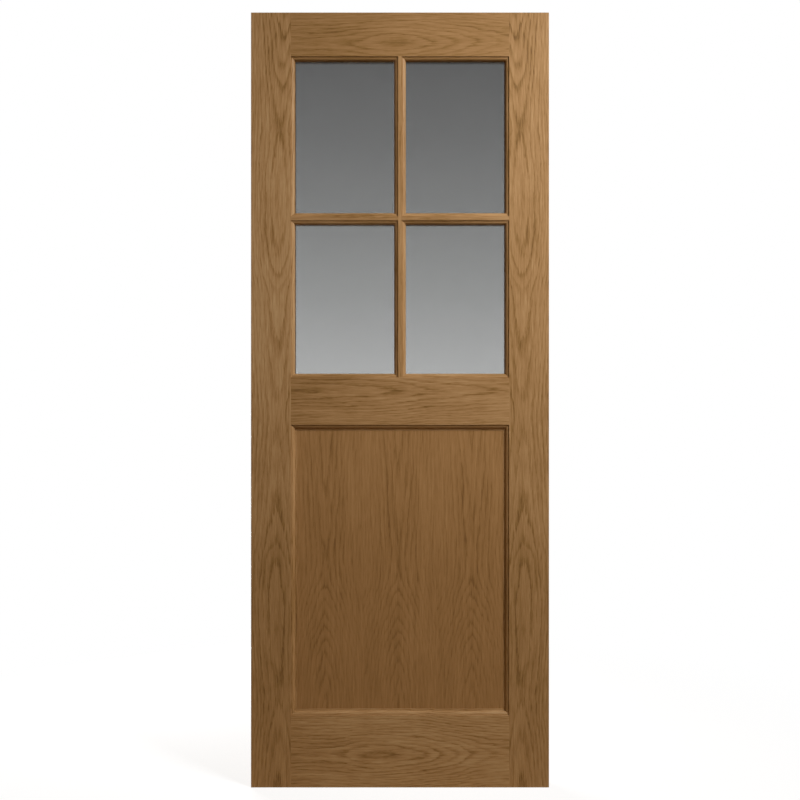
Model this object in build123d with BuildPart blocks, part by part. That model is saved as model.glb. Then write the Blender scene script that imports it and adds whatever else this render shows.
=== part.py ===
from build123d import *
import os

# Glazed exterior door leaf in oak: two stiles, three rails, four glazed lights between
# glazing bars, and a flat panel under the lock rail. The outside face is at -Y, the hinge
# edge is at X = 0, and Z = 0 is half way up. "Arris" is the sharp edge where the flat face
# of a stile, rail or bar ends and its moulding begins, and openings are measured there.

# Leaf
leaf_width = 762.0
leaf_height = 1981.0
leaf_thickness = 44.0
edge_ease = 1.0

# Flat faces of the frame members
stile_face = 102.0
top_rail_face = 112.0
lock_rail_face = 121.0
bottom_rail_face = 184.0
bar_face = 10.0

# Openings
glazed_height = 821.0
cross_bar_centre = 414.0    # down from the foot of the top rail

# Stuck moulding: a step down at the arris, a quarter round, a fillet, then the drop
step_width = 1.0
step_depth = 3.0
ovolo_radius = 8.5
light_fillet = 0.5
panel_fillet = 5.0
mitre_angle = 45.0

# Glazing, from the outside in: moulding, tape, sealed unit, tape, loose bead
pane_thickness = 4.0
unit_cavity = 6.0
spacer_width = 7.0
tape_thickness = 0.5
tape_width = 6.5
unit_edge_clearance = 2.0
bead_depth = 13.5
bead_flat = 1.5
bead_radius = 7.0
block_length = 30.0
block_inset = 60.0          # from the corner of the light to the middle of a setting block

# Panel
panel_thickness = 20.0
panel_edge_clearance = 2.0

# Joints: tenons in blind mortises, and the bars halved together where they cross
tenon_thickness = 16.0
tenon_length = 62.0
tenon_shoulder = 18.0       # from the edge of the rail's face to the tenon
twin_tenon_gap = 30.0
bar_tenon_thickness = 12.0
bar_tenon_length = 10.0
mortise_end_clearance = 2.0

# Levels and sizes that follow
leaf_top = leaf_height / 2
leaf_foot = -leaf_height / 2
leaf_middle = leaf_width / 2
opening_width = leaf_width - 2 * stile_face
glazed_top = leaf_top - top_rail_face
glazed_foot = glazed_top - glazed_height
panel_top = glazed_foot - lock_rail_face
panel_foot = leaf_foot + bottom_rail_face
cross_bar_level = glazed_top - cross_bar_centre
light_width = (opening_width - bar_face) / 2
light_moulding = step_width + ovolo_radius + light_fillet
panel_moulding = step_width + ovolo_radius + panel_fillet
unit_thickness = 2 * pane_thickness + unit_cavity
bead_seat = leaf_thickness - bead_depth
land_depth = bead_seat - unit_thickness - 2 * tape_thickness
panel_depth = (leaf_thickness - panel_thickness) / 2
mortise_length = tenon_length + mortise_end_clearance
bar_mortise_length = bar_tenon_length + mortise_end_clearance

front = Vector(0, -1, 0)
back = Vector(0, 1, 0)
into_opening = {
    "left": Vector(1, 0, 0),
    "right": Vector(-1, 0, 0),
    "bottom": Vector(0, 0, 1),
    "top": Vector(0, 0, -1),
}


class Opening:
    # A rectangle between arrises, given by its left, right, foot and top.
    def __init__(self, left, right, foot, top):
        self.width = right - left
        self.height = top - foot
        self.middle = ((left + right) / 2, (foot + top) / 2)
        self.left = left
        self.right = right
        self.foot = foot
        self.top = top

    def length(self, side):
        return self.width if side in ("top", "bottom") else self.height

    def edge_plane(self, side, outward):
        # X runs along the edge from its middle, Y into the opening and Z out of the leaf.
        inward = into_opening[side]
        reach = self.width / 2 if side in ("left", "right") else self.height / 2
        middle = Vector(self.middle[0], 0, self.middle[1])
        origin = middle - inward * reach + outward * (leaf_thickness / 2)
        return Plane(origin=origin, x_dir=inward.cross(outward), z_dir=outward)


def depth_plane(depth):
    # Parallel to the faces, this far below the outside face, with its normal to the outside.
    return Plane.XZ.offset(leaf_thickness / 2 - depth)


light_left = stile_face + light_width
light_right = leaf_width - stile_face - light_width
lower_light_top = cross_bar_level - bar_face / 2
upper_light_foot = cross_bar_level + bar_face / 2
lights = {
    "upper_left": Opening(stile_face, light_left, upper_light_foot, glazed_top),
    "upper_right": Opening(light_right, leaf_width - stile_face, upper_light_foot, glazed_top),
    "lower_left": Opening(stile_face, light_left, glazed_foot, lower_light_top),
    "lower_right": Opening(light_right, leaf_width - stile_face, glazed_foot, lower_light_top),
}
panel_opening = Opening(stile_face, leaf_width - stile_face, panel_foot, panel_top)


def section_plane(edge):
    # Across an edge plane: X points into the opening and Y out of the leaf.
    return Plane(origin=edge.origin, x_dir=edge.y_dir, z_dir=edge.x_dir)


def stuck_moulding(opening, side, outward, width, depth):
    # One side of an opening, moulded on the solid of its member and mitred at both ends.
    edge = opening.edge_plane(side, outward)
    length = opening.length(side)
    ovolo_foot = step_depth + ovolo_radius
    with BuildPart() as strip:
        with BuildSketch(section_plane(edge)):
            with BuildLine():
                Polyline((0, -depth), (0, -step_depth), (step_width, -step_depth))
                JernArc((step_width, -step_depth), (1, 0), ovolo_radius, -90)
                Polyline(
                    (step_width + ovolo_radius, -ovolo_foot),
                    (width, -ovolo_foot),
                    (width, -depth),
                    (0, -depth),
                )
            make_face()
        extrude(amount=length / 2, both=True)
        with BuildSketch(edge):
            Trapezoid(length, width, mitre_angle, align=(Align.CENTER, Align.MIN))
        extrude(amount=-depth, mode=Mode.INTERSECT)
    return strip.part


def glazing_bead(light, side):
    # Loose mitred bead that holds a unit from the back, flush with the back face.
    edge = light.edge_plane(side, back)
    length = light.length(side)
    with BuildPart() as bead:
        with BuildSketch(section_plane(edge)):
            with BuildLine():
                Polyline((light_moulding, -bead_depth), (0, -bead_depth), (0, 0), (bead_flat, 0))
                JernArc((bead_flat, 0), (1, 0), bead_radius, -90)
                Polyline(
                    (bead_flat + bead_radius, -bead_radius),
                    (light_moulding, -bead_radius),
                    (light_moulding, -bead_depth),
                )
            make_face()
        extrude(amount=length / 2, both=True)
        with BuildSketch(edge):
            Trapezoid(length, light_moulding, mitre_angle, align=(Align.CENTER, Align.MIN))
        extrude(amount=-bead_depth, mode=Mode.INTERSECT)
    return bead


def light_mouldings(light_side_pairs):
    return [
        stuck_moulding(lights[light], side, front, light_moulding, land_depth)
        for light, side in light_side_pairs
    ]


def panel_mouldings(side):
    return [
        stuck_moulding(panel_opening, side, outward, panel_moulding, panel_depth)
        for outward in (front, back)
    ]


# Each rail: foot and top of its face, and how many tenons it has at each end
rails = {
    "top_rail": (glazed_top, leaf_top, 1),
    "lock_rail": (panel_top, glazed_foot, 1),
    "bottom_rail": (leaf_foot, panel_foot, 2),
}


def tenon_spans(rail):
    # Foot and top of each tenon of a rail.
    foot, top, count = rails[rail]
    pitch = (top - foot - 2 * tenon_shoulder + twin_tenon_gap) / count
    starts = [foot + tenon_shoulder + i * pitch for i in range(count)]
    return [(start, start + pitch - twin_tenon_gap) for start in starts]


def rectangle_between(left, right, foot, top):
    with Locations(((left + right) / 2, (foot + top) / 2)):
        Rectangle(right - left, top - foot)


# Stiles

hinge_stile_mouldings = light_mouldings([("upper_left", "left"), ("lower_left", "left")])
hinge_stile_mouldings += panel_mouldings("left")

with BuildPart() as hinge_stile:
    with BuildSketch(depth_plane(leaf_thickness)):
        rectangle_between(0, stile_face, leaf_foot, leaf_top)
    extrude(amount=leaf_thickness)
    fillet(hinge_stile.edges().filter_by(Axis.Z).group_by(Axis.X)[0], edge_ease)
    with BuildSketch(Plane.XZ):
        for rail in rails:
            for foot, top in tenon_spans(rail):
                rectangle_between(stile_face - mortise_length, stile_face, foot, top)
    extrude(amount=tenon_thickness / 2, both=True, mode=Mode.SUBTRACT)
    with BuildSketch(Plane.XZ):
        rectangle_between(
            stile_face - bar_mortise_length, stile_face, lower_light_top, upper_light_foot
        )
    extrude(amount=bar_tenon_thickness / 2, both=True, mode=Mode.SUBTRACT)
    add(hinge_stile_mouldings)

with BuildPart() as latch_stile:
    mirror(hinge_stile.part, about=Plane.YZ.offset(leaf_middle))


# Rails


def make_rail(rail, mouldings, bar_mortise_edges):
    foot, top, _ = rails[rail]
    with BuildPart() as member:
        with BuildSketch(depth_plane(leaf_thickness)):
            rectangle_between(stile_face, leaf_width - stile_face, foot, top)
        extrude(amount=leaf_thickness)
        with BuildSketch(Plane.XZ):
            for tenon_foot, tenon_top in tenon_spans(rail):
                rectangle_between(
                    stile_face - tenon_length,
                    leaf_width - stile_face + tenon_length,
                    tenon_foot,
                    tenon_top,
                )
        extrude(amount=tenon_thickness / 2, both=True)
        if bar_mortise_edges:
            with BuildSketch(Plane.XZ):
                rectangle_between(light_left, light_right, *bar_mortise_edges)
            extrude(amount=bar_tenon_thickness / 2, both=True, mode=Mode.SUBTRACT)
        add(mouldings)
    return member


top_rail = make_rail(
    "top_rail",
    light_mouldings([("upper_left", "top"), ("upper_right", "top")]),
    (glazed_top, glazed_top + bar_mortise_length),
)
lock_rail = make_rail(
    "lock_rail",
    light_mouldings([("lower_left", "bottom"), ("lower_right", "bottom")])
    + panel_mouldings("top"),
    (glazed_foot - bar_mortise_length, glazed_foot),
)
bottom_rail = make_rail("bottom_rail", panel_mouldings("bottom"), None)


# Glazing bars, halved together: the vertical bar keeps the front half of the crossing

vertical_bar_mouldings = light_mouldings(
    [("upper_left", "right"), ("upper_right", "left")]
    + [("lower_left", "right"), ("lower_right", "left")]
)
cross_bar_mouldings = light_mouldings(
    [("upper_left", "bottom"), ("upper_right", "bottom")]
    + [("lower_left", "top"), ("lower_right", "top")]
)

with BuildPart() as vertical_bar:
    with BuildSketch(depth_plane(leaf_thickness)):
        rectangle_between(light_left, light_right, glazed_foot, glazed_top)
    extrude(amount=leaf_thickness)
    with BuildSketch(Plane.XZ):
        rectangle_between(
            light_left, light_right, glazed_foot - bar_tenon_length, glazed_top + bar_tenon_length
        )
    extrude(amount=bar_tenon_thickness / 2, both=True)
    with BuildSketch(depth_plane(leaf_thickness)):
        rectangle_between(light_left, light_right, lower_light_top, upper_light_foot)
    extrude(amount=leaf_thickness / 2, mode=Mode.SUBTRACT)
    add(vertical_bar_mouldings)

with BuildPart() as cross_bar:
    with BuildSketch(depth_plane(leaf_thickness)):
        rectangle_between(
            stile_face, leaf_width - stile_face, lower_light_top, upper_light_foot
        )
    extrude(amount=leaf_thickness)
    with BuildSketch(Plane.XZ):
        rectangle_between(
            stile_face - bar_tenon_length,
            leaf_width - stile_face + bar_tenon_length,
            lower_light_top,
            upper_light_foot,
        )
    extrude(amount=bar_tenon_thickness / 2, both=True)
    with BuildSketch(Plane.XZ):
        rectangle_between(light_left, light_right, lower_light_top, upper_light_foot)
    extrude(amount=leaf_thickness / 2, mode=Mode.SUBTRACT)
    add(cross_bar_mouldings)


# Panel, held in the groove between the front and back mouldings

with BuildPart() as panel:
    with BuildSketch(depth_plane(panel_depth + panel_thickness)):
        rectangle_between(
            panel_opening.left + panel_edge_clearance,
            panel_opening.right - panel_edge_clearance,
            panel_opening.foot + panel_edge_clearance,
            panel_opening.top - panel_edge_clearance,
        )
    extrude(amount=panel_thickness)


# Sealed units: two panes and the spacer between their edges


def make_pane(light, depth):
    with BuildPart() as pane:
        with BuildSketch(depth_plane(depth + pane_thickness)):
            with Locations(light.middle):
                Rectangle(
                    light.width - 2 * unit_edge_clearance, light.height - 2 * unit_edge_clearance
                )
        extrude(amount=pane_thickness)
    return pane


def ring_sketch(light, ring_width):
    # The edge band of a sealed unit.
    unit_width = light.width - 2 * unit_edge_clearance
    unit_height = light.height - 2 * unit_edge_clearance
    with Locations(light.middle):
        Rectangle(unit_width, unit_height)
        Rectangle(
            unit_width - 2 * ring_width, unit_height - 2 * ring_width, mode=Mode.SUBTRACT
        )


def make_spacer(light, depth):
    with BuildPart() as spacer:
        with BuildSketch(depth_plane(depth + unit_cavity)):
            ring_sketch(light, spacer_width)
        extrude(amount=unit_cavity)
    return spacer


def make_tapes(depth):
    with BuildPart() as tapes:
        with BuildSketch(depth_plane(depth + tape_thickness)):
            for light in lights.values():
                ring_sketch(light, tape_width)
        extrude(amount=tape_thickness)
    return tapes


outer_pane_depth = land_depth + tape_thickness
spacer_depth = outer_pane_depth + pane_thickness
inner_pane_depth = spacer_depth + unit_cavity
back_tape_depth = inner_pane_depth + pane_thickness

# Setting blocks carry each unit on the foot of its rebate
with BuildPart() as setting_blocks:
    with BuildSketch(depth_plane(back_tape_depth)):
        for light in lights.values():
            for block_middle in (light.left + block_inset, light.right - block_inset):
                rectangle_between(
                    block_middle - block_length / 2,
                    block_middle + block_length / 2,
                    light.foot,
                    light.foot + unit_edge_clearance,
                )
    extrude(amount=unit_thickness)


pieces = {
    "hinge_stile": hinge_stile,
    "latch_stile": latch_stile,
    "top_rail": top_rail,
    "lock_rail": lock_rail,
    "bottom_rail": bottom_rail,
    "vertical_bar": vertical_bar,
    "cross_bar": cross_bar,
    "panel": panel,
    "glazing_tape_front": make_tapes(land_depth),
    "glazing_tape_back": make_tapes(back_tape_depth),
    "setting_blocks": setting_blocks,
}
for name, light in lights.items():
    pieces[f"outer_pane_{name}"] = make_pane(light, outer_pane_depth)
    pieces[f"inner_pane_{name}"] = make_pane(light, inner_pane_depth)
    pieces[f"spacer_{name}"] = make_spacer(light, spacer_depth)
    for side in into_opening:
        pieces[f"bead_{name}_{side}"] = glazing_bead(light, side)

os.makedirs("parts", exist_ok=True)
for name, piece in pieces.items():
    piece.part.label = name
    export_step(piece.part, f"parts/{name}.step")
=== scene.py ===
import bpy
import math
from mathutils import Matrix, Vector


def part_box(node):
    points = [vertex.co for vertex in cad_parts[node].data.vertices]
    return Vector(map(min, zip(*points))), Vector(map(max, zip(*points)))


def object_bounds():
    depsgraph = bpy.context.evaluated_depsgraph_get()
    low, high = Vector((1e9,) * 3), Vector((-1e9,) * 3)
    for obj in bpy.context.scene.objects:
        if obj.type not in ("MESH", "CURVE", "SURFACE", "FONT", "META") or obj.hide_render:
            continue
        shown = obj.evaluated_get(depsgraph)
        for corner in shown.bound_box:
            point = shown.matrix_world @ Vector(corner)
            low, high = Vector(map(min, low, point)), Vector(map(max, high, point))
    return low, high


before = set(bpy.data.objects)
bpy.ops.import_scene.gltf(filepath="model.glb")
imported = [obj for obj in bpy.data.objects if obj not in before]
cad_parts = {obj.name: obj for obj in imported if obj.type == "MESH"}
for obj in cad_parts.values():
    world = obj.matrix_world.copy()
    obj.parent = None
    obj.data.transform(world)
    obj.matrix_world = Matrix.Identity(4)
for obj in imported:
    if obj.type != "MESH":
        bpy.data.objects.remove(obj)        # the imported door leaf: every CAD node, in metres
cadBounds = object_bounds()
print("frame loaded:", len(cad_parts), "nodes")

mm = 0.001               # in metres
leafLow, leafHigh = Vector(cadBounds[0]), Vector(cadBounds[1])
leafMiddle = (leafLow + leafHigh) / 2


def hexToLinear(code):
    # sRGB hex to the linear colour that sockets take
    parts = [int(code[start:start + 2], 16) / 255 for start in (1, 3, 5)]
    return [part / 12.92 if part <= 0.04045 else ((part + 0.055) / 1.055) ** 2.4 for part in parts] + [1]


white = hexToLinear("#FFFFFF")


def addNode(tree, kind, inputs=None, **settings):
    # adds one node; an input is a value, a socket, or a node whose first output is meant
    node = tree.nodes.new("ShaderNode" + kind)
    for name, value in settings.items():
        setattr(node, name, value)
    for socket, value in (inputs or {}).items():
        if isinstance(value, bpy.types.Node):
            value = value.outputs[0]
        if isinstance(value, bpy.types.NodeSocket):
            tree.links.new(value, node.inputs[socket])
        else:
            node.inputs[socket].default_value = value
    return node


def setStops(node, stops):
    # the stops of a ramp, from (place, colour); a colour is hex, or a level of grey from 0 to 1
    ramp = node.color_ramp
    for number, (at, colour) in enumerate(stops):
        if number == 0:
            stop = ramp.elements[0]
        elif number == len(stops) - 1:
            stop = ramp.elements[-1]
        else:
            stop = ramp.elements.new(at)
        stop.position = at
        stop.color = hexToLinear(colour) if isinstance(colour, str) else (colour, colour, colour, 1)


def startMaterial(name):
    # a new material with an empty node tree
    material = bpy.data.materials.new(name)
    material.use_nodes = True
    material.node_tree.nodes.clear()
    return material, material.node_tree


def dress(node, material):
    # gives a CAD node its one material; its mesh and its place stay
    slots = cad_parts[node].data.materials
    slots.clear()
    slots.append(material)


def addSeenMask(tree):
    # 1 for what the camera sees, straight, mirrored or through glass, and 0 for light that bounces
    ray = addNode(tree, "LightPath")
    seen = addNode(
        tree, "Math",
        {0: ray.outputs["Is Camera Ray"], 1: ray.outputs["Is Glossy Ray"]},
        operation="MAXIMUM",
    )
    return addNode(tree, "Math", {0: seen, 1: ray.outputs["Is Transmission Ray"]}, operation="MAXIMUM")


# Camera: level with the middle of the leaf, square on to the outside face

camera = {
    "distance": 2.70,          # m from the outside face, by how much underside the top moulding shows
    "frameHeight": 2.045,      # m that the picture spans at the outside face
    "sensor": 36.0,            # mm
    "clipEnd": 50,             # m
}
cameraData = bpy.data.cameras.new("camera")
cameraData.sensor_width = camera["sensor"]
cameraData.lens = camera["sensor"] * camera["distance"] / camera["frameHeight"]
cameraData.clip_end = camera["clipEnd"]
cameraObject = bpy.data.objects.new("camera", cameraData)
cameraObject.location = (leafMiddle.x, leafLow.y - camera["distance"], leafMiddle.z)
cameraObject.rotation_euler = (math.pi / 2, 0, 0)
bpy.context.scene.collection.objects.link(cameraObject)
bpy.context.scene.camera = cameraObject
bpy.context.scene.view_settings.view_transform = "Standard"
print("camera placed")


# Light: a soft key in front, high on the right, and a broad lamp low behind for the inside face

# place, aim and size in m, spread in degrees
lights = {
    "key": {
        "place": (2.28, -1.82, 1.95), "aim": (1.0, 0.0, 0.55), "size": 1.0, "spread": 90, "watts": 24.5,
    },
    "back": {
        "place": (-0.6, 1.6, -0.6), "aim": (0.4, 0.0, 0.3), "size": 1.2, "spread": 180, "watts": 55,
    },
}
lampColour = "#FFFEFC"
for name, light in lights.items():
    lampData = bpy.data.lights.new(name, "AREA")
    lampData.shape = "SQUARE"
    lampData.size = light["size"]
    lampData.energy = light["watts"]
    lampData.spread = math.radians(light["spread"])
    lampData.color = hexToLinear(lampColour)[:3]
    lamp = bpy.data.objects.new(name, lampData)
    lamp.location = light["place"]
    lamp.rotation_euler = (Vector(light["aim"]) - lamp.location).to_track_quat("-Z", "Y").to_euler()
    lamp.visible_camera = False
    lamp.visible_transmission = False      # or it would stand as a white square behind the glass
    bpy.context.scene.collection.objects.link(lamp)

# the surround is white to the eye, and lights the leaf with a weak warm glow
surround = {"ambient": 0.106, "ambientColour": "#FFCE62"}
world = bpy.data.worlds.new("surround")
bpy.context.scene.world = world
world.use_nodes = True
tree = world.node_tree
tree.nodes.clear()
bounced = addNode(
    tree, "Background", {"Color": hexToLinear(surround["ambientColour"]), "Strength": surround["ambient"]}
)
backdrop = addNode(tree, "Background", {"Color": white, "Strength": 1.0})
air = addNode(tree, "MixShader", {0: addSeenMask(tree), 1: bounced, 2: backdrop})
addNode(tree, "OutputWorld", {"Surface": air})
print("lights set")


# Floor: pale, keeping a soft shadow under the leaf and melting into the white surround

floor = {
    "radius": 6.0, "corners": 96,        # m
    "colour": "#A2A5AB", "glow": 0.80,   # what the picture shows, nearly as white as the surround
    "fadeFrom": 0.5, "fadeTo": 1.8,      # m from the middle of the leaf
    "bounce": "#A88B34",                 # what it throws back: the foot of the leaf is lit a warm brown
}
bpy.ops.mesh.primitive_circle_add(
    vertices=floor["corners"], radius=floor["radius"], fill_type="NGON",
    location=(leafMiddle.x, 0, leafLow.z),
)
floorObject = bpy.context.object
floorObject.name = "floor"
# matt painted board: pale and without sheen, so that only the shadow shows
floorMaterial, tree = startMaterial("paleStudioFloor")
place = addNode(tree, "TexCoord")
reach = addNode(tree, "VectorMath", {0: place.outputs["Object"]}, operation="LENGTH")
fade = addNode(
    tree,
    "MapRange",
    {"Value": reach.outputs["Value"], "From Min": floor["fadeFrom"], "From Max": floor["fadeTo"]},
    interpolation_type="SMOOTHSTEP",
)
matt = addNode(tree, "BsdfDiffuse", {"Color": hexToLinear(floor["colour"])})
glow = addNode(tree, "Emission", {"Color": white, "Strength": floor["glow"]})
near = addNode(tree, "AddShader", {0: matt, 1: glow})
far = addNode(tree, "Emission", {"Color": white, "Strength": 1.0})
shown = addNode(tree, "MixShader", {0: fade, 1: near, 2: far})
bounce = addNode(tree, "BsdfDiffuse", {"Color": hexToLinear(floor["bounce"])})
surface = addNode(tree, "MixShader", {0: addSeenMask(tree), 1: bounce, 2: shown})
addNode(tree, "OutputMaterial", {"Surface": surface})
floorObject.data.materials.append(floorMaterial)
print("floor laid")


# Oak: growth rings as distances from the heart of the log, cut by the faces of each board

# each noise in the wood: mm wide across the grain and mm long along it
# real fibre bundles are 0.5 mm wide and real pores 0.3 mm, and both are drawn coarser so that they show
grainNoises = {
    "wander": {"wide": 30, "long": 130, "detail": 3.0, "roughness": 0.6},
    "feather": {"wide": 3.2, "long": 38, "detail": 2.0, "roughness": 0.6},
    "fibre": {"wide": 2.2, "long": 42, "detail": 2.0, "roughness": 0.55},
    "streak": {"wide": 6, "long": 170, "detail": 2.0, "roughness": 0.6},
    "cloud": {"wide": 32, "long": 210, "detail": 2.0, "roughness": 0.5},
    "pore": {"wide": 1.2, "long": 18, "detail": 1.0, "roughness": 0.5},
}
# what four of them steer, as (noise, value where it is low, value where it is high)
grainEffects = {
    "drift": ("wander", -4.0, 4.0),          # mm that a ring strays to the side
    "lead": ("feather", -0.15, 0.15),        # years that a vessel runs behind or ahead
    "breakUp": ("fibre", 1.2, 0.6),          # fibre bundles break the rings up into strokes
    "depthOfTone": ("cloud", 1.5, 0.55),     # over a forearm's length the rings show more, then less
}
noiseLow, noiseHigh = 0.3, 0.7      # nearly all of a noise lies between these
# a year starts with dark open vessels and ends pale, as (part of the year, darkness)
yearTone = [(0.0, 0.5), (0.07, 1.0), (0.18, 0.8), (0.36, 0.3), (0.58, 0.08), (0.88, 0.05), (1.0, 0.5)]
leanYear, goodYear = 0.55, 1.0
poreLimit = {"betweenRings": 0.62, "inRing": 0.47, "edge": 0.10}      # more pores open where a ring is dark


def makeOakGrain():
    # one group for every board: the place of a point in its board, in mm, gives rings, fibres and pores
    group = bpy.data.node_groups.new("oakGrain", "ShaderNodeTree")
    for name in ("Across", "Depth", "Along", "Heart Rings", "Ring Width", "Roundness", "Flank Fade"):
        group.interface.new_socket(name=name, in_out="INPUT", socket_type="NodeSocketFloat")
    for name in ("Ring", "Streak", "Fibre", "Pore", "Cloud"):
        group.interface.new_socket(name=name, in_out="OUTPUT", socket_type="NodeSocketFloat")
    given = group.nodes.new("NodeGroupInput")
    across, depth, along = (given.outputs[name] for name in ("Across", "Depth", "Along"))
    width, roundness = (given.outputs[name] for name in ("Ring Width", "Roundness"))
    point = addNode(group, "CombineXYZ", {"X": across, "Y": depth, "Z": along})

    noise = {}
    for name, size in grainNoises.items():
        scale = (1 / size["wide"], 1 / size["wide"], 1 / size["long"])
        stretched = addNode(group, "Mapping", {"Vector": point, "Scale": scale})
        noise[name] = addNode(
            group, "TexNoise",
            {"Vector": stretched, "Scale": 1.0, "Detail": size["detail"], "Roughness": size["roughness"]},
        )
    effect = {}
    for name, (source, low, high) in grainEffects.items():
        span = {"From Min": noiseLow, "From Max": noiseHigh, "To Min": low, "To Max": high}
        effect[name] = addNode(group, "MapRange", {"Value": noise[source], **span})

    # rings from the heart to the point: sideways, and straight down under the face
    side = addNode(group, "Math", {0: across, 1: effect["drift"]}, operation="ADD")
    side = addNode(group, "Math", {0: side, 1: width}, operation="DIVIDE")
    side = addNode(group, "Math", {0: side}, operation="ABSOLUTE")
    below = addNode(group, "Math", {0: depth, 1: width}, operation="DIVIDE")
    below = addNode(group, "Math", {0: below, 1: given.outputs["Heart Rings"]}, operation="ADD")
    # a roundness of 2 gives the arcs of a straight log, less gives the pointed arches of a tapering one
    side = addNode(group, "Math", {0: side, 1: roundness}, operation="POWER")
    below = addNode(group, "Math", {0: below, 1: roundness}, operation="POWER")
    years = addNode(group, "Math", {0: side, 1: below}, operation="ADD")
    # rings cut steeply, at the flanks of the flames, lie close and show less
    flank = addNode(group, "Math", {0: side, 1: years}, operation="DIVIDE")
    flank = addNode(group, "Math", {0: flank, 1: given.outputs["Flank Fade"]}, operation="MULTIPLY")
    flank = addNode(group, "Math", {0: 1.0, 1: flank}, operation="SUBTRACT", use_clamp=True)
    root = addNode(group, "Math", {0: 1.0, 1: roundness}, operation="DIVIDE")
    years = addNode(group, "Math", {0: years, 1: root}, operation="POWER")
    years = addNode(group, "Math", {0: years, 1: effect["lead"]}, operation="ADD")

    # how dark a point is in its year, and how good that year was
    year = addNode(group, "Math", {0: years}, operation="FLOOR")
    season = addNode(group, "Math", {0: years}, operation="FRACT")
    vigour = addNode(group, "TexWhiteNoise", {"W": year}, noise_dimensions="1D")
    vigour = addNode(
        group, "MapRange", {"Value": vigour.outputs["Value"], "To Min": leanYear, "To Max": goodYear}
    )
    ring = addNode(group, "ValToRGB", {"Fac": season})
    ring.color_ramp.interpolation = "EASE"
    setStops(ring, yearTone)
    for strength in (vigour, effect["breakUp"], effect["depthOfTone"], flank):
        ring = addNode(group, "Math", {0: ring, 1: strength}, operation="MULTIPLY")

    limit = addNode(
        group, "MapRange",
        {"Value": ring, "To Min": poreLimit["betweenRings"], "To Max": poreLimit["inRing"]},
    )
    pore = addNode(group, "Math", {0: noise["pore"], 1: limit}, operation="SUBTRACT")
    pore = addNode(group, "MapRange", {"Value": pore, "From Min": 0.0, "From Max": poreLimit["edge"]})
    taken = group.nodes.new("NodeGroupOutput")
    results = {
        "Ring": ring, "Pore": pore,
        "Streak": noise["streak"], "Fibre": noise["fibre"], "Cloud": noise["cloud"],
    }
    for name, node in results.items():
        group.links.new(node.outputs[0], taken.inputs[name])
    return group


oakGrain = makeOakGrain()


def setCurve(node, points, length, reach):
    # the knots of a curve, from (mm along the board, value), which become shares of length and reach
    line = node.mapping.curves[0]
    for number, (at, value) in enumerate(points):
        if number == 0:
            knot = line.points[0]
        elif number == len(points) - 1:
            knot = line.points[-1]
        else:
            knot = line.points.new(0.5, 0.5)
        knot.location = (at / length, value / reach)
    node.mapping.update()


curveReach = {"rings": 10, "heart": 100, "toneAndPaintedLight": 1}      # the most that each may be along a board
toneParts = {"Ring": -0.44, "Streak": 0.60, "Fibre": 0.76, "Cloud": 0.35, "Pore": -0.12}
toneMean = 0.75      # what the parts come to on average
lacquer = {
    "roughness": 0.38, "roughnessInPores": 0.60, "ior": 1.5, "specular": 0.20,
    "bump": 0.3, "relief": 0.10,       # relief in mm
}
halfThickness = leafHigh.y / mm


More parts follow.
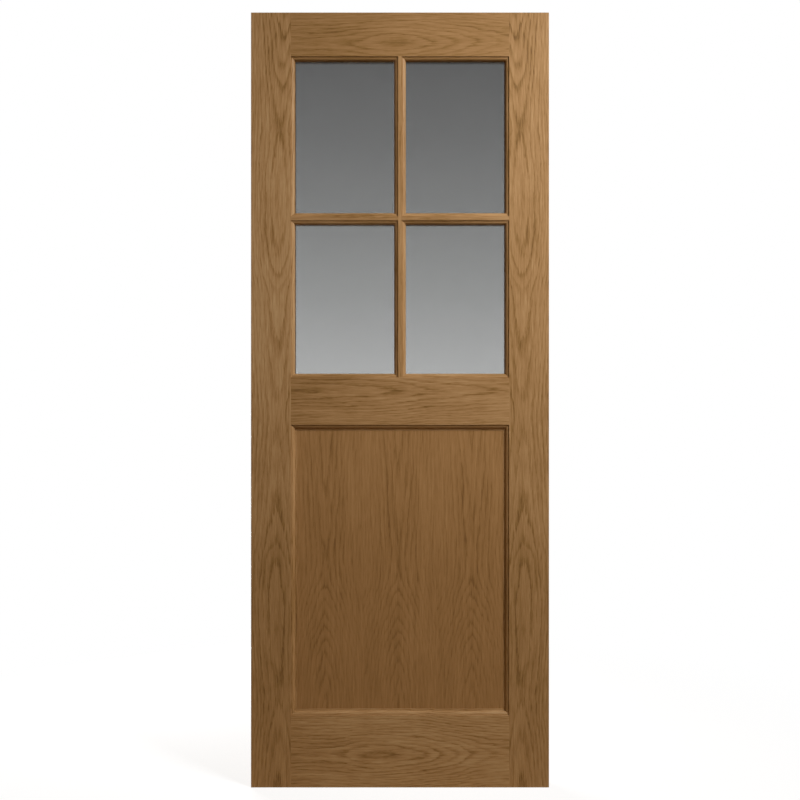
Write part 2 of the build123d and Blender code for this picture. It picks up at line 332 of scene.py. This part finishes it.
def makeOak(name, board):
    # oak sawn flat, sanded and lacquered: flame figure, dashes of open pores and a satin sheen
    material, tree = startMaterial(name)
    place = addNode(tree, "TexCoord")
    scaled = addNode(tree, "VectorMath", {0: place.outputs["Object"], "Scale": 1 / mm}, operation="SCALE")
    parts = addNode(tree, "SeparateXYZ", {0: scaled})
    # mm along the board from its start, which for an upright board is its head
    acrossAxis, alongAxis, way = ("X", "Z", -1.0) if board["grain"] == "up" else ("Z", "X", 1.0)
    along = addNode(
        tree, "Math",
        {0: parts.outputs[alongAxis], 1: way, 2: -way * board["start"]},
        operation="MULTIPLY_ADD",
    )
    share = addNode(tree, "Math", {0: along, 1: board["length"]}, operation="DIVIDE")
    drawn = {}
    for part, reach in curveReach.items():
        curve = addNode(tree, "FloatCurve", {"Value": share})
        setCurve(curve, board[part], board["length"], reach)
        drawn[part] = addNode(tree, "Math", {0: curve, 1: reach}, operation="MULTIPLY")
    rings = addNode(tree, "Math", {0: drawn["rings"], 1: board["heartRings"]}, operation="ADD")
    # mm across the board from its edge, and mm down from its outside face
    edge = addNode(
        tree, "Math",
        {0: parts.outputs[acrossAxis], 1: board["side"], 2: -board["side"] * board["edge"]},
        operation="MULTIPLY_ADD",
    )
    depth = addNode(tree, "Math", {0: parts.outputs["Y"], 1: halfThickness}, operation="ADD")
    if "veneer" in board:      # leaves of veneer side by side, each sliced a little deeper in the log
        veneer = board["veneer"]
        leaf = addNode(tree, "Math", {0: edge, 1: veneer["width"]}, operation="DIVIDE")
        leaf = addNode(tree, "Math", {0: leaf}, operation="FLOOR")
        depth = addNode(tree, "Math", {0: leaf, 1: veneer["step"], 2: depth}, operation="MULTIPLY_ADD")
        edge = addNode(tree, "Math", {0: edge, 1: veneer["width"]}, operation="FLOORED_MODULO")
    across = addNode(tree, "Math", {0: edge, 1: drawn["heart"]}, operation="SUBTRACT")
    given = {
        "Across": across, "Depth": depth, "Along": along, "Heart Rings": rings,
        "Ring Width": board["ringWidth"], "Roundness": board["roundness"], "Flank Fade": board["flankFade"],
    }
    grain = addNode(tree, "Group", given, node_tree=oakGrain)

    # tone: 0 is the deepest brown, 1 the palest straw; along the board it drifts with its own tone and with
    # painted light and shade
    pattern = -toneMean
    for part, strength in toneParts.items():
        pattern = addNode(
            tree, "Math", {0: grain.outputs[part], 1: strength, 2: pattern}, operation="MULTIPLY_ADD"
        )
    tone = addNode(
        tree, "Math", {0: pattern, 1: board["contrast"], 2: drawn["toneAndPaintedLight"]}, operation="MULTIPLY_ADD"
    )
    colour = addNode(tree, "ValToRGB", {"Fac": tone})
    setStops(colour, board["colours"])

    relief = addNode(
        tree, "Math",
        {0: grain.outputs["Pore"], 1: -1.0, 2: grain.outputs["Streak"]},
        operation="MULTIPLY_ADD",
    )
    bump = addNode(
        tree, "Bump", {"Strength": lacquer["bump"], "Distance": lacquer["relief"] * mm, "Height": relief}
    )
    roughness = addNode(
        tree, "MapRange",
        {
            "Value": grain.outputs["Pore"],
            "To Min": lacquer["roughness"],
            "To Max": lacquer["roughnessInPores"],
        },
    )
    shader = addNode(
        tree,
        "BsdfPrincipled",
        {
            "Base Color": colour,
            "Roughness": roughness,
            "Normal": bump,
            "IOR": lacquer["ior"],
            "Specular IOR Level": lacquer["specular"],
        },
    )
    addNode(tree, "OutputMaterial", {"Surface": shader})
    return material


oakColours = [(0.0, "#714E28"), (0.3, "#936F3F"), (0.5, "#A78053"), (0.7, "#B89164"), (1.0, "#CDAB80")]
panelColours = [(0.0, "#6F4B28"), (0.3, "#916B3D"), (0.5, "#A67D4F"), (0.7, "#B78E5F"), (1.0, "#CCA87B")]

# edges of the boards in mm, from the frame: the panel and the units stand a little inside their openings
gap = 2
panelLow, panelHigh = (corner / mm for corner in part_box("panel"))
leafTop = leafHigh.z / mm
leafWidth, leafHeight = (leafHigh.x - leafLow.x) / mm, (leafHigh.z - leafLow.z) / mm
railStart, railLength = panelLow.x - gap, panelHigh.x - panelLow.x + 2 * gap
panelHead, panelFoot = panelHigh.z + gap, panelLow.z - gap
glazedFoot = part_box("outer_pane_lower_left")[0].z / mm - gap

# what changes along a board, as (mm from its start, value):
# rings, on top of heartRings, is how deep under the face the heart lies; a flame ends at a whole number
# heart is how far the heart lies from the board's edge, in mm; the third, its tone, is partly the board's
# own tone and partly painted light and shade
stile = {
    "grain": "up", "start": leafTop, "length": leafHeight, "colours": oakColours, "contrast": 0.86,
    "ringWidth": 5.0, "roundness": 1.8, "flankFade": 0.55, "heartRings": 12,
    "rings": [
        (0, 0), (54, 1), (130, 2), (186, 3), (276, 4), (296, 4.15), (320, 3.95), (488, 3.35), (595, 4),
        (667, 5), (710, 6), (833, 7), (973, 8), (1024, 8.4), (1075, 8), (1267, 7), (1356, 6), (1412, 5),
        (1553, 4.4), (1693, 5), (1744, 5.2), (1770, 5), (1859, 4), (1981, 3),
    ],
    "heart": [
        (0, 86), (60, 84), (186, 79), (300, 74), (480, 70), (990, 68), (1600, 65), (1750, 71), (1981, 69),
    ],
    "toneAndPaintedLight": [(0, 0.56), (leafHeight, 0.56)],
}
rail = {
    "grain": "level", "start": railStart, "length": railLength, "side": -1, "colours": oakColours,
    "contrast": 0.85, "ringWidth": 5.0, "roundness": 1.7, "flankFade": 0.55,
    "toneAndPaintedLight": [(0, 0.55), (railLength, 0.55)],
}
# the tone lists carry painted light and shade as well as each board's own tone: lighter where the leaf
# takes more light, darker where it takes less
boards = {
    "hinge_stile": {
        **stile, "side": 1, "edge": 0,
        "toneAndPaintedLight": [
            (0, 0.54), (199, 0.60), (352, 0.65), (505, 0.66), (659, 0.70), (812, 0.72), (965, 0.66),
            (1118, 0.60), (1271, 0.58), (1425, 0.48), (1578, 0.50), (1731, 0.49), (1981, 0.63),
        ],
    },
    "latch_stile": {
        **stile, "side": -1, "edge": leafWidth,
        "toneAndPaintedLight": [
            (0, 0.46), (199, 0.52), (352, 0.54), (659, 0.53), (812, 0.56), (965, 0.52), (1118, 0.54),
            (1271, 0.55), (1425, 0.47), (1578, 0.49), (1731, 0.50), (1981, 0.66),
        ],
    },
    "top_rail": {
        **rail, "edge": leafTop, "heartRings": 10, "heart": [(0, 80), (558, 74)], "contrast": 0.62,
        "toneAndPaintedLight": [(0, 0.44), (138, 0.41), (241, 0.46), (343, 0.47), (433, 0.42), (558, 0.42)],
        "rings": [
            (0, 5.4), (110, 5.4), (180, 4.8), (250, 4.1), (300, 4.2), (350, 4.9), (400, 5.7), (450, 6.6),
            (500, 7.5), (558, 8.5),
        ],
    },
    "lock_rail": {
        **rail, "edge": glazedFoot, "heartRings": 11, "heart": [(0, 34), (558, 33)],
        "toneAndPaintedLight": [(0, 0.46), (138, 0.51), (241, 0.58), (343, 0.60), (433, 0.57), (558, 0.57)],
        "rings": [(0, 3.1), (100, 3.3), (253, 4), (353, 5), (500, 6), (558, 6.4)],
    },
    "bottom_rail": {
        **rail, "edge": panelFoot, "heartRings": 11, "heart": [(0, 105), (558, 104)], "contrast": 0.98,
        "toneAndPaintedLight": [(0, 0.58), (138, 0.66), (241, 0.71), (343, 0.72), (433, 0.67), (558, 0.68)],
        "rings": [
            (0, 5.2), (70, 5.4), (137, 5), (160, 4.5), (190, 4.08), (250, 4.05), (290, 4.5), (343, 5),
            (380, 6), (423, 7), (458, 8), (515, 9), (558, 9.5),
        ],
    },
    # the bars are cut well off the heart, for a straight grain, so edge is a line beside them
    "vertical_bar": {
        **stile, "side": 1, "edge": 300, "heart": [(0, 10), (1981, 20)], "rings": [(0, 2), (1981, 4)],
    },
    "cross_bar": {
        **rail, "edge": 520, "heartRings": 12, "heart": [(0, 10), (558, 16)], "rings": [(0, 2), (558, 3)],
    },
    "panel": {
        "grain": "up", "start": panelHead, "length": panelHead - panelFoot,
        "side": 1, "edge": 98,       # the leaves of veneer start here, so the first is trimmed by 6 mm
        "colours": panelColours, "contrast": 0.50, "ringWidth": 7.5, "roundness": 1.4, "flankFade": 1.1,
        "veneer": {"width": 188, "step": 2.5},       # mm
        "heartRings": 4, "heart": [(0, 92), (743, 90)],
        "toneAndPaintedLight": [(0, 0.49), (192, 0.49), (307, 0.47), (537, 0.45), (743, 0.45)],
        "rings": [
            (0, 6.6), (77, 7), (265, 8), (330, 8.3), (388, 8), (430, 7), (466, 6), (502, 5), (535, 4),
            (566, 3), (600, 2.2), (640, 1.4), (680, 0.7), (743, 0),
        ],
    },
}
for node, board in boards.items():
    dress(node, makeOak(node + "Oak", board))
beadUp = makeOak("uprightBeadOak", boards["vertical_bar"])
beadLevel = makeOak("levelBeadOak", boards["cross_bar"])
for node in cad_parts:
    if node.startswith("bead_"):
        dress(node, beadUp if node.endswith(("_left", "_right")) else beadLevel)
print("oak finished")


# Glass: float glass with painted shade and reflection, grey and darker towards the head, in front of a
# clear pane

glazing = {
    "head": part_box("outer_pane_upper_left")[1].z,
    "foot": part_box("outer_pane_lower_left")[0].z,
    # painted shade and reflection: the grey deepens towards the head
    "paintedShadeGreys": [      # from foot to head
        (0.0, "#B0B0B0"), (0.25, "#959595"), (0.5, "#7D7D7D"), (0.75, "#676767"), (1.0, "#535353"),
    ],
    "clear": [(0.0, "#F4F6F5"), (1.0, "#F4F6F5")],
    "roughness": 0.02, "ior": 1.52,
}


def makeGlass(name, stops):
    # float glass, smooth from its bath of tin: clean reflections over a plain view through
    material, tree = startMaterial(name)
    place = addNode(tree, "TexCoord")
    parts = addNode(tree, "SeparateXYZ", {0: place.outputs["Object"]})
    height = addNode(
        tree, "MapRange",
        {"Value": parts.outputs["Z"], "From Min": glazing["foot"], "From Max": glazing["head"]},
    )
    # the colour by height: plain in the clear pane, and in the outer pane painted shade and reflection,
    # darker towards the head
    glassTintAndPaintedShade = addNode(tree, "ValToRGB", {"Fac": height})
    setStops(glassTintAndPaintedShade, stops)
    shader = addNode(
        tree,
        "BsdfPrincipled",
        {
            "Base Color": glassTintAndPaintedShade,
            "Roughness": glazing["roughness"],
            "IOR": glazing["ior"],
            "Transmission Weight": 1.0,
        },
    )
    addNode(tree, "OutputMaterial", {"Surface": shader})
    return material


# the outer panes carry the painted shade and reflection
paintedShadeGlass = makeGlass("floatGlassWithPaintedShade", glazing["paintedShadeGreys"])
clearGlass = makeGlass("clearFloatGlass", glazing["clear"])
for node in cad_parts:
    if "_pane" in node:
        dress(node, paintedShadeGlass if node.startswith("outer") else clearGlass)
print("glass finished")


# Edges of the sealed units: spacer bars, tapes and setting blocks, by the start of their node's name

# mottle is in mm, and coarser than the real specks so that it shows
unitFinishes = {
    # aluminium, anodised champagne: a soft warm metal line round the edge of each unit
    "spacer_": {
        "name": "champagneAnodisedSpacer", "colours": ("#CBB99E", "#D8C7AD"), "mottle": 2.5,
        "metallic": 1.0, "roughness": 0.4,
    },
    # closed-cell foam, cut from a roll: a matt brown line between the glass and the oak
    "glazing_tape": {
        "name": "brownFoamTape", "colours": ("#5A4632", "#6B5540"), "mottle": 1.1,
        "metallic": 0.0, "roughness": 0.9,
    },
    # moulded rubber: dark and dull, it stays in the shade under the glass
    "setting_blocks": {
        "name": "rubberSettingBlock", "colours": ("#3B3B3B", "#4A4A4A"), "mottle": 1.7,
        "metallic": 0.0, "roughness": 0.5,
    },
}
mottleRange = (0.3, 0.7)      # where in the noise the two colours stand
mottleBump = {"strength": 0.2, "height": 0.1}      # height in mm


def makeUnitEdge(finish):
    # two near tones in a fine mottle with a little relief, so that no piece looks flat up close
    material, tree = startMaterial(finish["name"])
    place = addNode(tree, "TexCoord")
    mottle = addNode(
        tree, "TexNoise",
        {"Vector": place.outputs["Object"], "Scale": 1 / (finish["mottle"] * mm), "Detail": 3.0},
    )
    tone = addNode(tree, "ValToRGB", {"Fac": mottle})
    setStops(tone, list(zip(mottleRange, finish["colours"])))
    bump = addNode(
        tree, "Bump",
        {"Strength": mottleBump["strength"], "Distance": mottleBump["height"] * mm, "Height": mottle},
    )
    shader = addNode(
        tree,
        "BsdfPrincipled",
        {
            "Base Color": tone,
            "Metallic": finish["metallic"],
            "Roughness": finish["roughness"],
            "Normal": bump,
        },
    )
    addNode(tree, "OutputMaterial", {"Surface": shader})
    return material


for start, finish in unitFinishes.items():
    material = makeUnitEdge(finish)
    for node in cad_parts:
        if node.startswith(start):
            dress(node, material)
print("unit edges finished")
